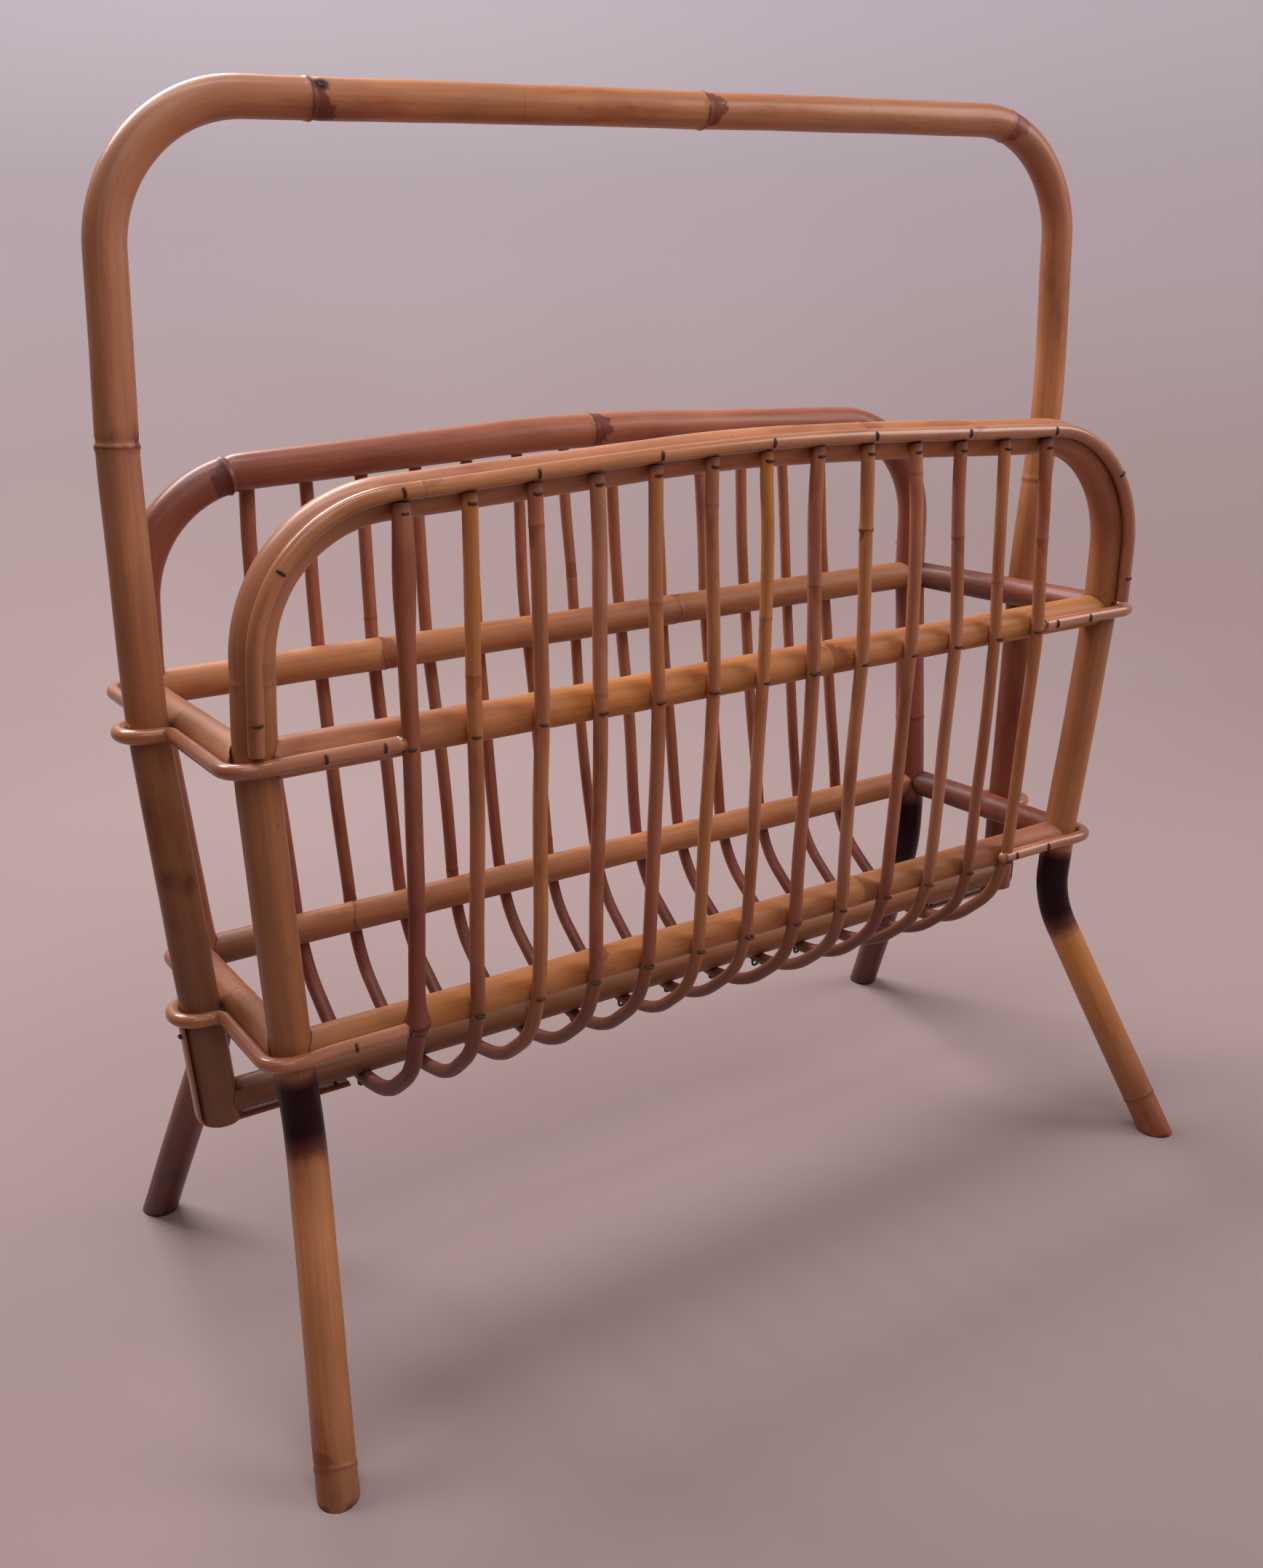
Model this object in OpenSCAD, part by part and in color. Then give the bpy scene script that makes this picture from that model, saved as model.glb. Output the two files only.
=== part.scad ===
/* [Side panels] */
// Distance between the two posts of a panel at the middle rail, centre to centre
panel_w = 460; // [380:1:560]
// How much narrower a panel is at the lower rail
low_taper = 13; // [0:1:40]
// Distance between the two panels at the middle rail, centre to centre
panel_gap = 146; // [120:1:190]
// How much closer together the panels are at the lower rail
low_gap_taper = 25; // [0:1:40]
// How much further apart the panels are at the top of their arches
top_gap_spread = 3; // [0:1:40]
// Height of the arch cane's centre line in the middle of the panel
arch_z = 390; // [360:1:470]
// How far the arch falls from its middle to its corners
arch_drop = 9; // [2:1:20]
// How much narrower a panel is between the arch's corners than at the middle rail
arch_taper = 1.4; // [0:0.2:20]
// How far the arches lean to the right of the panels' middle
arch_shift = 5.3; // [-8:0.1:8]
// Bend radius of the arch's corners
arch_r = 58; // [35:1:70]
// Diameter of the panel canes, each bent from foot to foot
frame_d = 17; // [14:0.1:20.5]

/* [Legs] */
// How far below the lower rail a leg has its scorched bend
kink_drop = 39; // [30:1:50]
// Bend radius of a leg at that place
kink_r = 55; // [30:1:70]
// How much narrower a panel is at the bend than at the middle rail
kink_taper = 19; // [0:1:50]
// How much closer together the panels are at the bend than at the middle rail
kink_gap_taper = 29; // [0:1:45]
// How much wider the feet stand along the rack than the posts at the middle rail
foot_spread = 28; // [0:1:120]
// How much wider the feet stand across the rack than the panels at the middle rail
foot_gap_spread = 102; // [40:1:150]

/* [Rails] */
// Height of the middle rails
mid_z = 291; // [250:1:350]
// Height of the lower rails
low_z = 164; // [150:1:200]
// How far the rail under the middle of the basket is below the lower rails
bottom_drop = 44.5; // [36:0.5:54]
// Diameter of the middle rails along the rack
mid_rail_d = 16; // [12:0.1:19.5]
// Diameter of the lower rails along the rack
low_rail_d = 15; // [12:0.1:18]
// Diameter of the short rails across the ends
end_rail_d = 15; // [12:0.1:18]
// Diameter of the rail under the middle of the basket
bottom_rail_d = 15; // [12:0.1:18]
// How far the upper end rails stand outward of the posts' centre lines, and the lower ones
upper_end_out = 3; // [0:0.5:6]
lower_end_out = 2.5; // [0:0.5:6]
// Clearance between a rail's shaped end and the cane it meets
joint_gap = 0.3; // [0.1:0.1:1]

/* [Handle hoop] */
// Diameter of the hoop cane
hoop_d = 17; // [15:0.1:22]
// Height of the handle's centre line above its left corner
hoop_z = 529; // [470:1:640]
// How much higher its right corner is
hoop_rise = 7.5; // [-20:0.5:20]
// How far above the middle rail each pole has a slight bend
lean_height = 109; // [60:1:140]
// How far the left pole leans outward from the middle rail to that bend, and from there to the handle
left_lean = -1.5; // [-20:0.5:40]
left_top_lean = -8.5; // [-20:0.5:20]
// How far the right pole leans outward from the middle rail to that bend, and from there to the handle
right_lean = 13.5; // [-20:0.5:40]
right_top_lean = 0; // [-20:0.5:20]
// Bend radius of the handle's corners
hoop_r = 58; // [40:1:80]
// How far the hoop's two ends reach below the centre line of the bottom rail
hoop_end_drop = 9.5; // [3:0.5:14]

/* [Slats] */
// Number of slats
slat_count = 13; // [5:2:15]
// Diameter of a slat
slat_d = 6; // [4:0.25:8]
// Distance between slats at the rails
slat_pitch = 28.7; // [22:0.1:31]
// Distance between slats at the arch
slat_top_pitch = 28.2; // [22:0.1:31]

/* [Trim and bindings] */
// Diameter of the bead that runs round each arch
trim_d = 6.5; // [4:0.25:9]
// How far the bead stands outward of the arch's centre line
trim_out = 3; // [0:0.5:5]
// Diameter of the bindings that run round each end
binding_d = 6.25; // [4:0.25:8]
// How far a binding reaches along the rails from a post
binding_reach = 57; // [30:1:80]
// Width of the strap under each end of the hoop
strap_w = 8; // [5:0.5:12]
// Thickness of that strap
strap_t = 2; // [1:0.25:3]
// How far the strap reaches along the bottom rail
strap_reach = 60; // [30:1:80]

/* [Fasteners] */
// Outside width of a staple's crown
staple_w = 4.6; // [3:0.2:9]
// Thickness of the staple wire
staple_t = 1; // [0.5:0.1:1.5]
// Length of a staple's legs
staple_leg = 11; // [8:0.5:14]
// Distance between the staples along a bead
trim_staple_pitch = 57; // [30:1:80]
// Diameter of the nails in the frame joints
nail_d = 2; // [1:0.2:3]
// Length of those nails
nail_l = 32; // [24:1:40]

/* [Hidden] */
// A bend is drawn in steps of this many degrees
bend_step = 11;
// Sides of a thick cane, and of a thin one
cane_sides = 14;
rod_sides = 8;
// Gentle bends: at the middle rail, at the lower rail, of the handle poles and of the arch's crown
mid_bend_r = 30;
low_bend_r = 30;
pole_bend_r = 150;
crown_r = 1500;
// Bends where a binding rises from its rail to the front of the post
binding_lift_r = 12;
// Gap left between a slat's or a bead's end and the piece that it stops at
end_gap = 0.3;
// How far the staples sit below a rail's centre line, and below a slat's upper end
staple_drop = 2.5;
top_staple_drop = 4;
$fn = 48;

frame_rad = frame_d / 2;
hoop_rad = hoop_d / 2;
slat_rad = slat_d / 2;
trim_rad = trim_d / 2;
binding_rad = binding_d / 2;

// Widths, gaps and heights that follow from those at the rails
panel_low_w = panel_w - low_taper;
kink_w = panel_w - kink_taper;
foot_w = panel_w + foot_spread;
panel_low_gap = panel_gap - low_gap_taper;
panel_top_gap = panel_gap + top_gap_spread;
kink_gap = panel_gap - kink_gap_taper;
foot_gap = panel_gap + foot_gap_spread;
kink_z = low_z - kink_drop;
bottom_z = low_z - bottom_drop;
hoop_end_z = bottom_z - hoop_end_drop;

// The hoop's poles stand against the outer faces of the end rails
mid_end_x = panel_w / 2 + upper_end_out;
low_end_x = panel_low_w / 2 + lower_end_out;
mid_pole_x = mid_end_x + end_rail_d / 2 + hoop_rad;
low_pole_x = low_end_x + end_rail_d / 2 + hoop_rad;
pole_slope = (mid_pole_x - low_pole_x) / (mid_z - low_z);
hoop_end_x = low_pole_x - pole_slope * (low_z - hoop_end_z);
lean_z = mid_z + lean_height;
left_lean_x = mid_pole_x + left_lean;
right_lean_x = mid_pole_x + right_lean;
left_top_x = left_lean_x + left_top_lean;
right_top_x = right_lean_x + right_top_lean;

// The whole rack is moved so that its box is centred on the origin
left_edge = max(mid_pole_x + binding_d, left_lean_x, left_top_x) + hoop_rad;
right_edge = max(mid_pole_x + binding_d, right_lean_x, right_top_x) + hoop_rad;
centre_x = (right_edge - left_edge) / 2;

corner_z = arch_z - arch_drop;
corner_x = (panel_w - arch_taper) / 2;
crown_angle = atan(arch_drop / corner_x);
crown_z = arch_z + crown_r * (1 / cos(crown_angle) - 1);
arch_bend_r = min(arch_r, corner_z - mid_z - frame_d);
hoop_bend_r = min(hoop_r, hoop_z - lean_z - hoop_d / 2);

slat_names = [for (i = [1:slat_count]) str("slat_", i < 10 ? "0" : "", i)];

hoop_color = "peru";
frame_color = "sienna";
rail_color = "goldenrod";
slat_color = "chocolate";
trim_color = "burlywood";
steel_color = "dimgray";

// ---- Paths ----

function unit(v) = v / norm(v);
function between(a, b, t) = a + (b - a) * t;

// The arc of radius r that rounds the corner at b, or b itself where the path hardly turns
function corner_arc(a, b, c, r) =
    let (u = unit(b - a), v = unit(c - b), turn = acos(min(1, u * v)))
    turn < 0.5 || r == 0 ? [b] :
    let (start = b - u * r * tan(turn / 2), inward = unit(v - u * (u * v)), steps = ceil(turn / bend_step))
    [for (k = [0:steps]) let (t = turn * k / steps) start + r * (inward * (1 - cos(t)) + u * sin(t))];

// A path through points p, with the corner at point i rounded to radius r[i]
function rounded(p, r) =
    [p[0], for (i = [1:len(p) - 2]) each corner_arc(p[i - 1], p[i], p[i + 1], r[i]), p[len(p) - 1]];

function headings(p) = [for (i = [0:len(p) - 2]) unit(p[i + 1] - p[i])];

// Vector e carried round from heading a to heading b
function carried(e, a, b) = e - (a + b) * ((e * b) / (1 + a * b));
function sideways(h, e, i = 0) =
    i == len(h) - 1 ? [e] : concat([e], sideways(h, carried(e, h[i], h[i + 1]), i + 1));
function square_to(h) = unit(cross(h, abs(h.y) < 0.9 ? [0, 1, 0] : [1, 0, 0]));

function path_length(p, i = 0) = i > len(p) - 2 ? 0 : norm(p[i + 1] - p[i]) + path_length(p, i + 1);

// The place at distance s along a path, and the heading there
function spot(p, s, i = 0) =
    let (step = norm(p[i + 1] - p[i]))
    s <= step || i == len(p) - 2
        ? [p[i] + unit(p[i + 1] - p[i]) * s, unit(p[i + 1] - p[i])]
        : spot(p, s - step, i + 1);

// A round cane along a path, mitred at each bend, with its ends square or cut to the planes given
module cane(path, d, sides, first_cut, last_cut) {
    last = len(path) - 1;
    h = headings(path);
    e = sideways(h, square_to(h[0]));
    function plane(i) =
        i == 0 ? (is_undef(first_cut) ? h[0] : first_cut)
        : i == last ? (is_undef(last_cut) ? h[last - 1] : last_cut)
        : unit(h[i - 1] + h[i]);
    function ring(i) =
        let (k = max(0, i - 1), across = cross(h[k], e[k]), n = plane(i))
        [for (j = [0:sides - 1])
            let (a = 360 * (j + 0.5) / sides, w = d / 2 * (cos(a) * e[k] + sin(a) * across))
            path[i] + w - h[k] * ((w * n) / (h[k] * n))];
    points = [for (i = [0:last]) each ring(i)];
    walls = [for (i = [0:last - 1], j = [0:sides - 1])
        let (m = (j + 1) % sides)
        [i * sides + j, (i + 1) * sides + j, (i + 1) * sides + m, i * sides + m]];
    first_end = [for (j = [0:sides - 1]) j];
    last_end = [for (j = [sides - 1:-1:0]) last * sides + j];
    polyhedron(points, concat(walls, [first_end, last_end]), convexity = 10);
}

// A straight round rod from a to b
module rod(a, b, d) {
    v = b - a;
    translate(a) rotate([0, acos(v.z / norm(v)), atan2(v.y, v.x)]) cylinder(h = norm(v), d = d);
}

// ---- Panels and legs: side is -1 or 1 along the rack, face is -1 for the front and 1 for the back ----

function foot(side, face) = [side * foot_w / 2, face * foot_gap / 2, 0];
function kink(side, face) = [side * kink_w / 2, face * kink_gap / 2, kink_z];
function low_post(side, face) = [side * panel_low_w / 2, face * panel_low_gap / 2, low_z];
function mid_post(side, face) = [side * panel_w / 2, face * panel_gap / 2, mid_z];
function arch_corner(side, face) = [side * corner_x + arch_shift, face * panel_top_gap / 2, corner_z];

function panel_points(face) = [
    foot(-1, face), kink(-1, face), low_post(-1, face), mid_post(-1, face), arch_corner(-1, face),
    [arch_shift, face * panel_top_gap / 2, crown_z],
    arch_corner(1, face), mid_post(1, face), low_post(1, face), kink(1, face), foot(1, face)];
panel_bends = [
    0, kink_r, low_bend_r, mid_bend_r, arch_bend_r, crown_r, arch_bend_r, mid_bend_r, low_bend_r, kink_r, 0];

module panel_frame(face) {
    color(frame_color)
        cane(rounded(panel_points(face), panel_bends), frame_d, cane_sides, [0, 0, 1], [0, 0, 1]);
}

// What is cut from a rail's end so that it sits against a post
module low_post_room(side, face) {
    rod(between(low_post(side, face), kink(side, face), 0.6),
        between(low_post(side, face), mid_post(side, face), 0.18), frame_d + 2 * joint_gap);
}
module mid_post_room(side, face) {
    rod(between(mid_post(side, face), low_post(side, face), 0.08),
        between(mid_post(side, face), arch_corner(side, face), 0.12), frame_d + 2 * joint_gap);
}

// ---- Rails: each stops short of the posts' middles, so that its shaped ends have no thin horns ----

rail_setback = frame_rad / 2;

module mid_rail(face) {
    color(rail_color) difference() {
        rod(mid_post(-1, face) + [rail_setback, 0, 0], mid_post(1, face) - [rail_setback, 0, 0], mid_rail_d);
        mid_post_room(-1, face);
        mid_post_room(1, face);
    }
}

module low_rail(face) {
    color(rail_color) difference() {
        rod(low_post(-1, face) + [rail_setback, 0, 0], low_post(1, face) - [rail_setback, 0, 0], low_rail_d);
        low_post_room(-1, face);
        low_post_room(1, face);
    }
}

module upper_end_rail(side) {
    half = panel_gap / 2 - rail_setback;
    color(frame_color) difference() {
        rod([side * mid_end_x, -half, mid_z], [side * mid_end_x, half, mid_z], end_rail_d);
        mid_post_room(side, -1);
        mid_post_room(side, 1);
    }
}

module lower_end_rail(side) {
    half = panel_low_gap / 2 - rail_setback;
    color(frame_color) difference() {
        rod([side * low_end_x, -half, low_z], [side * low_end_x, half, low_z], end_rail_d);
        low_post_room(side, -1);
        low_post_room(side, 1);
    }
}

module bottom_rail() {
    color(rail_color) difference() {
        rod([-hoop_end_x, 0, bottom_z], [hoop_end_x, 0, bottom_z], bottom_rail_d);
        for (side = [-1, 1])
            rod(pole_at(side, hoop_end_z - hoop_rad), pole_at(side, low_z), hoop_d + 2 * joint_gap);
    }
}

// ---- Handle hoop ----

function pole_at(side, z) = [side * (low_pole_x + pole_slope * (z - low_z)), 0, z];

hoop_points = [
    pole_at(-1, hoop_end_z), pole_at(-1, mid_z), [-left_lean_x, 0, lean_z],
    [-left_top_x, 0, hoop_z], [right_top_x, 0, hoop_z + hoop_rise],
    [right_lean_x, 0, lean_z], pole_at(1, mid_z), pole_at(1, hoop_end_z)];
hoop_bends = [
    0, pole_bend_r, pole_bend_r, hoop_bend_r, hoop_bend_r, pole_bend_r, pole_bend_r, 0];

module handle_hoop() {
    color(hoop_color) cane(rounded(hoop_points, hoop_bends), hoop_d, cane_sides, [0, 0, 1], [0, 0, 1]);
}

// ---- Slats: each runs down the front, under the bottom rail and up the back ----

function slat_x(i) = (i - (slat_count + 1) / 2) * slat_pitch;
function slat_top_x(i) = (i - (slat_count + 1) / 2) * slat_top_pitch;
function arch_height(x) = corner_z + (crown_z - corner_z) * (1 - abs(x - arch_shift) / corner_x);

// A slat ends just under the bead on the arch
function slat_top_z(x) = min(arch_height(x), arch_z) + trim_out - trim_rad - end_gap;
slat_top_y = panel_top_gap / 2 + frame_rad + slat_rad;
slat_mid_y = panel_gap / 2 + (mid_rail_d + slat_d) / 2;
slat_low_y = panel_low_gap / 2 + (low_rail_d + slat_d) / 2;
slat_bottom_z = bottom_z - (bottom_rail_d + slat_d) / 2;

// The sling under the rack: two corners between the lower rail and the bottom rail, on each face
sling_outer = [slat_low_y * 0.88, between(slat_bottom_z, low_z, 0.56)];
sling_inner = [slat_low_y * 0.46, between(slat_bottom_z, low_z, 0.13)];

function slat_half(i, face) = [
    [slat_top_x(i), face * slat_top_y, slat_top_z(slat_top_x(i))],
    [slat_x(i), face * slat_mid_y, mid_z],
    [slat_x(i), face * slat_low_y, low_z],
    [slat_x(i), face * sling_outer[0], sling_outer[1]],
    [slat_x(i), face * sling_inner[0], sling_inner[1]]];
function reversed(v) = [for (i = [len(v) - 1:-1:0]) v[i]];
function slat_points(i) =
    concat(slat_half(i, -1), [[slat_x(i), 0, slat_bottom_z]], reversed(slat_half(i, 1)));
slat_half_bends = [0, (mid_rail_d + slat_d) / 2, (low_rail_d + slat_d) / 2, 45, 60];
slat_bends = concat(slat_half_bends, [60], reversed(slat_half_bends));

module slat(i) {
    color(slat_color) cane(rounded(slat_points(i), slat_bends), slat_d, rod_sides);
}

// ---- Bead round each arch, on the outer face and a little outward of the cane ----

trim_y = sqrt(pow(frame_rad + trim_rad, 2) - pow(trim_out, 2));
trim_end_z = mid_z + binding_rad + trim_rad / 2 + end_gap;
trim_end_share = (trim_end_z - mid_z) / (corner_z - mid_z);
trim_bend_r = arch_bend_r + trim_out;
function trim_corner(side, face) = arch_corner(side, face) + [side * trim_out, face * trim_y, trim_out];
function trim_end(side, face) =
    between(mid_post(side, face), arch_corner(side, face), trim_end_share)
    + [side * trim_out, face * trim_y, 0];
function trim_points(face) = [
    trim_end(-1, face), trim_corner(-1, face),
    [arch_shift, face * (panel_top_gap / 2 + trim_y), crown_z + trim_out],
    trim_corner(1, face), trim_end(1, face)];
function trim_path(face) = rounded(trim_points(face), [0, trim_bend_r, crown_r, trim_bend_r, 0]);

module trim(face) {
    color(trim_color) cane(trim_path(face), trim_d, rod_sides);
}

// ---- Bindings: from the front rail round the post, the hoop's pole and the back post to the back rail ----

// One face's half of a binding, in plan, from its end on the rail to the pole
function binding_half(side, face, post, rail_d, end_x, pole_x, z) =
    let (rail_y = post.y * face + rail_d / 2 + binding_rad,
         post_x = max(abs(post.x) + frame_rad, end_x + end_rail_d / 2) + binding_rad,
         post_y = post.y * face + max(frame_rad, rail_d / 2) + binding_rad,
         pole_y = hoop_rad + binding_rad)
    [[side * (abs(post.x) - binding_reach), face * rail_y, z],
     [side * (abs(post.x) - frame_rad - binding_d), face * rail_y, z],
     [side * (abs(post.x) - frame_rad / 2), face * post_y, z],
     [side * post_x, face * post_y, z],
     [side * post_x, face * pole_y, z],
     [side * (pole_x + pole_y), face * pole_y, z]];
function binding_path(side, front, back, rail_d, end_x, pole_x, z) =
    rounded(concat(binding_half(side, -1, front, rail_d, end_x, pole_x, z),
                   reversed(binding_half(side, 1, back, rail_d, end_x, pole_x, z))),
            concat(binding_bends, reversed(binding_bends)));
binding_bends = [
    0, binding_lift_r, binding_lift_r, frame_rad + binding_rad - 1, binding_rad + 1,
    hoop_rad + binding_rad - 0.5];

function upper_binding_path(side) =
    binding_path(side, mid_post(side, -1), mid_post(side, 1), mid_rail_d, mid_end_x, mid_pole_x, mid_z);
function lower_binding_path(side) =
    binding_path(side, low_post(side, -1), low_post(side, 1), low_rail_d, low_end_x, low_pole_x, low_z);

module binding(path) {
    color(trim_color) cane(path, binding_d, rod_sides);
}

// ---- Straps under the hoop's ends ----

strap_top_z = low_z - binding_rad - 1;
pole_foot_z = min(hoop_end_z, bottom_z - bottom_rail_d / 2);
strap_points = [
    [low_pole_x - pole_slope * (low_z - strap_top_z) + hoop_rad, strap_top_z],
    [hoop_end_x + hoop_rad, pole_foot_z],
    [hoop_end_x - strap_reach, pole_foot_z]];
strap_path = rounded(strap_points, [0, 5, 0]);

// A path in a plane moved to its left by t
function left_of(p, t) = [for (i = [0:len(p) - 1])
    let (u = unit(p[min(i + 1, len(p) - 1)] - p[max(i - 1, 0)])) p[i] + t * [-u.y, u.x]];

module strap(side) {
    color(trim_color) mirror([side > 0 ? 0 : 1, 0, 0]) translate([0, strap_w / 2, 0]) rotate([90, 0, 0])
        linear_extrude(strap_w) polygon(concat(strap_path, reversed(left_of(strap_path, strap_t))));
}

// ---- Staples and nails ----

// A staple whose crown lies across the given direction on a rod's outer side, its legs driven inward
module staple(at, across, out, w = staple_w) {
    s = cross(out, across);
    multmatrix([[across.x, s.x, out.x, at.x], [across.y, s.y, out.y, at.y], [across.z, s.z, out.z, at.z]])
        translate([0, staple_t / 2, 0]) rotate([90, 0, 0]) linear_extrude(staple_t)
            polygon([[-w / 2, staple_t], [w / 2, staple_t], [w / 2, -staple_leg],
                     [w / 2 - staple_t, -staple_leg], [w / 2 - staple_t, 0],
                     [-w / 2 + staple_t, 0], [-w / 2 + staple_t, -staple_leg], [-w / 2, -staple_leg]]);
}

module slat_staples() {
    color(steel_color) for (i = [1:slat_count]) {
        for (face = [-1, 1]) {
            out = [0, face, 0];
            top_z = slat_top_z(slat_top_x(i)) - top_staple_drop;
            staple([slat_top_x(i), face * (slat_top_y + slat_rad), top_z], [1, 0, 0], out);
            staple([slat_x(i), face * (slat_mid_y + slat_rad), mid_z - staple_drop], [1, 0, 0], out);
            staple([slat_x(i), face * (slat_low_y + slat_rad), low_z - staple_drop], [1, 0, 0], out);
        }
        staple([slat_x(i), 0, slat_bottom_z - slat_rad], [1, 0, 0], [0, 0, -1]);
    }
}

module trim_staples() {
    color(steel_color) for (face = [-1, 1]) {
        path = trim_path(face);
        count = floor(path_length(path) / trim_staple_pitch);
        margin = (path_length(path) - count * trim_staple_pitch) / 2;
        for (k = [0:count]) {
            here = spot(path, margin + k * trim_staple_pitch);
            out = unit([0, face, 0] - here[1] * (here[1].y * face));
            staple(here[0] + out * trim_rad, cross(out, here[1]), out);
        }
    }
}

// Two staples hold each end of a binding to its rail
module binding_staples() {
    color(steel_color) for (side = [-1, 1], level = [0, 1], face = [-1, 1], place = [0.18, 0.6]) {
        post = level == 0 ? low_post(side, face) : mid_post(side, face);
        reach = (level == 0 ? low_rail_d : mid_rail_d) / 2 + binding_d;
        x = side * (abs(post.x) - binding_reach * (1 - place));
        staple([x, post.y + face * reach, post.z], [0, 0, 1], [0, face, 0]);
    }
}

module strap_staples() {
    color(steel_color) for (side = [-1, 1]) {
        x = side * (hoop_end_x - strap_reach + 6);
        staple([x, 0, pole_foot_z - strap_t], [0, 1, 0], [0, 0, -1]);
        staple([side * (strap_points[0].x + strap_t), 0, strap_top_z - 6], [0, 1, 0], [side, 0, 0]);
    }
}

// Nails join the canes under the bindings: posts to rails, poles to end rails and to the bottom rail
module joint_nails() {
    color(steel_color) for (side = [-1, 1]) {
        for (face = [-1, 1], level = [0, 1]) {
            post = level == 0 ? low_post(side, face) : mid_post(side, face);
            rail_in = post + [side * frame_rad, 0, 0];
            rod(rail_in, rail_in - [side * nail_l, 0, 0], nail_d);
            end_in = post + [0, face * frame_rad, 2 * nail_d];
            rod(end_in, end_in - [0, face * nail_l, 0], nail_d);
        }
        for (z = [low_z, mid_z, bottom_z]) {
            pole_in = pole_at(side, z) + [side * hoop_rad, 0, 0];
            rod(pole_in, pole_in - [side * nail_l, 0, 0], nail_d);
        }
    }
}

// Moves a piece from the panels' middle to the origin of the rack
module placed() {
    translate([-centre_x, 0, 0]) children();
}

placed() handle_hoop();
placed() panel_frame(-1);  // front_frame
placed() panel_frame(1);  // back_frame
placed() mid_rail(-1);  // front_mid_rail
placed() mid_rail(1);  // back_mid_rail
placed() low_rail(-1);  // front_low_rail
placed() low_rail(1);  // back_low_rail
placed() upper_end_rail(-1);  // left_upper_end_rail
placed() upper_end_rail(1);  // right_upper_end_rail
placed() lower_end_rail(-1);  // left_lower_end_rail
placed() lower_end_rail(1);  // right_lower_end_rail
placed() bottom_rail();
for (i = [1:slat_count]) placed() slat(i);
placed() trim(-1);  // front_trim
placed() trim(1);  // back_trim
placed() binding(upper_binding_path(-1));  // left_upper_binding
placed() binding(upper_binding_path(1));  // right_upper_binding
placed() binding(lower_binding_path(-1));  // left_lower_binding
placed() binding(lower_binding_path(1));  // right_lower_binding
placed() strap(-1);  // left_strap
placed() strap(1);  // right_strap
placed() slat_staples();
placed() trim_staples();
placed() binding_staples();
placed() strap_staples();
placed() joint_nails();
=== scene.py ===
import bisect
import math
import random
import bmesh
import bpy
from mathutils import Matrix, Vector, noise


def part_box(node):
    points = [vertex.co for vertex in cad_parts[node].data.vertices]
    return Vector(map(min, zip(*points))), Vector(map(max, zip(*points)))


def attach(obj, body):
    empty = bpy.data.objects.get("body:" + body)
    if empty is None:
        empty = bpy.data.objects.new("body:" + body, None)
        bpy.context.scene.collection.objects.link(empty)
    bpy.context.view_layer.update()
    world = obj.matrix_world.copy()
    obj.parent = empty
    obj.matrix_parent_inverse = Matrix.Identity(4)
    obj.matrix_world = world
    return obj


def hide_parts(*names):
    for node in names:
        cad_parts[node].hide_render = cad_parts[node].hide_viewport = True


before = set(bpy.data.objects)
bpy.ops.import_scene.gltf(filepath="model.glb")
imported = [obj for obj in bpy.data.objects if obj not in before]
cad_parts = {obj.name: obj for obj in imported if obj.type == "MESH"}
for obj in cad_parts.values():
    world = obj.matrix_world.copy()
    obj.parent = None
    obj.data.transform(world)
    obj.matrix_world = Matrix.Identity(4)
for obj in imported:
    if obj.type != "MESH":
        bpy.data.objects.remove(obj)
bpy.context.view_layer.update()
# without a seed, the vector noise is different in every run
noise.seed_set(1)


def middle(node):
    # the middle of a CAD node's box, in millimetres
    low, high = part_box(node)
    return (low + high) * 500


# All the sizes below are in millimetres, measured from the middle of the panels.
# The finished meshes are in metres, and are moved along by slideX.
slideX = middle("front_frame").x
rack = {
    # from post to post along the rack, and between the two panels
    "midWidth": 460, "lowWidth": 447, "kinkWidth": 441, "footWidth": 488,
    "midGap": 146, "lowGap": 121, "topGap": 149, "kinkGap": 117, "footGap": 248,
    "midZ": middle("front_mid_rail").z, "lowZ": middle("front_low_rail").z,
    "bottomZ": middle("bottom_rail").z, "kinkZ": 125, "archZ": 390, "archDrop": 9, "archWidth": 458.6,
    # the arches stand a little to the right
    "crownRise": 1.2, "archShift": 5.3,
    "caneR": 8.5, "hoopR": 8.5, "midRailR": 8, "lowRailR": 7.5, "endRailR": 7.5, "bottomRailR": 7.5,
    "slatR": 3, "beadR": 3.25, "bindingR": 3.125,
}
cornerZ = rack["archZ"] - rack["archDrop"]
cornerX = rack["archWidth"] / 2
crownZ = rack["archZ"] + rack["crownRise"]
upperEndX = -middle("left_upper_end_rail").x + slideX
lowerEndX = -middle("left_lower_end_rail").x + slideX
midPoleX = upperEndX + rack["endRailR"] + rack["hoopR"]
lowPoleX = lowerEndX + rack["endRailR"] + rack["hoopR"]
poleSlope = (midPoleX - lowPoleX) / (rack["midZ"] - rack["lowZ"])
slatNames = sorted(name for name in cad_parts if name.startswith(("slat_0", "slat_1")))

# varnished cane, from honey to mahogany
tones = {
    "honey": (0.44, 0.172, 0.062),
    "gold": (0.50, 0.19, 0.048),
    "tan": (0.42, 0.172, 0.085),
    "amber": (0.33, 0.125, 0.047),
    "bark": (0.20, 0.08, 0.038),
    "rose": (0.34, 0.115, 0.058),
    "russet": (0.23, 0.062, 0.032),
    "umber": (0.10, 0.028, 0.018),
}


# Camera, light and studio

camera = {
    "place": (-0.4033, -0.6075, 0.4485),
    "yaw": 32.10, "pitch": -17.42, "roll": -1.654,
    "lens": 34.75, "film": 36,
}


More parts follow.
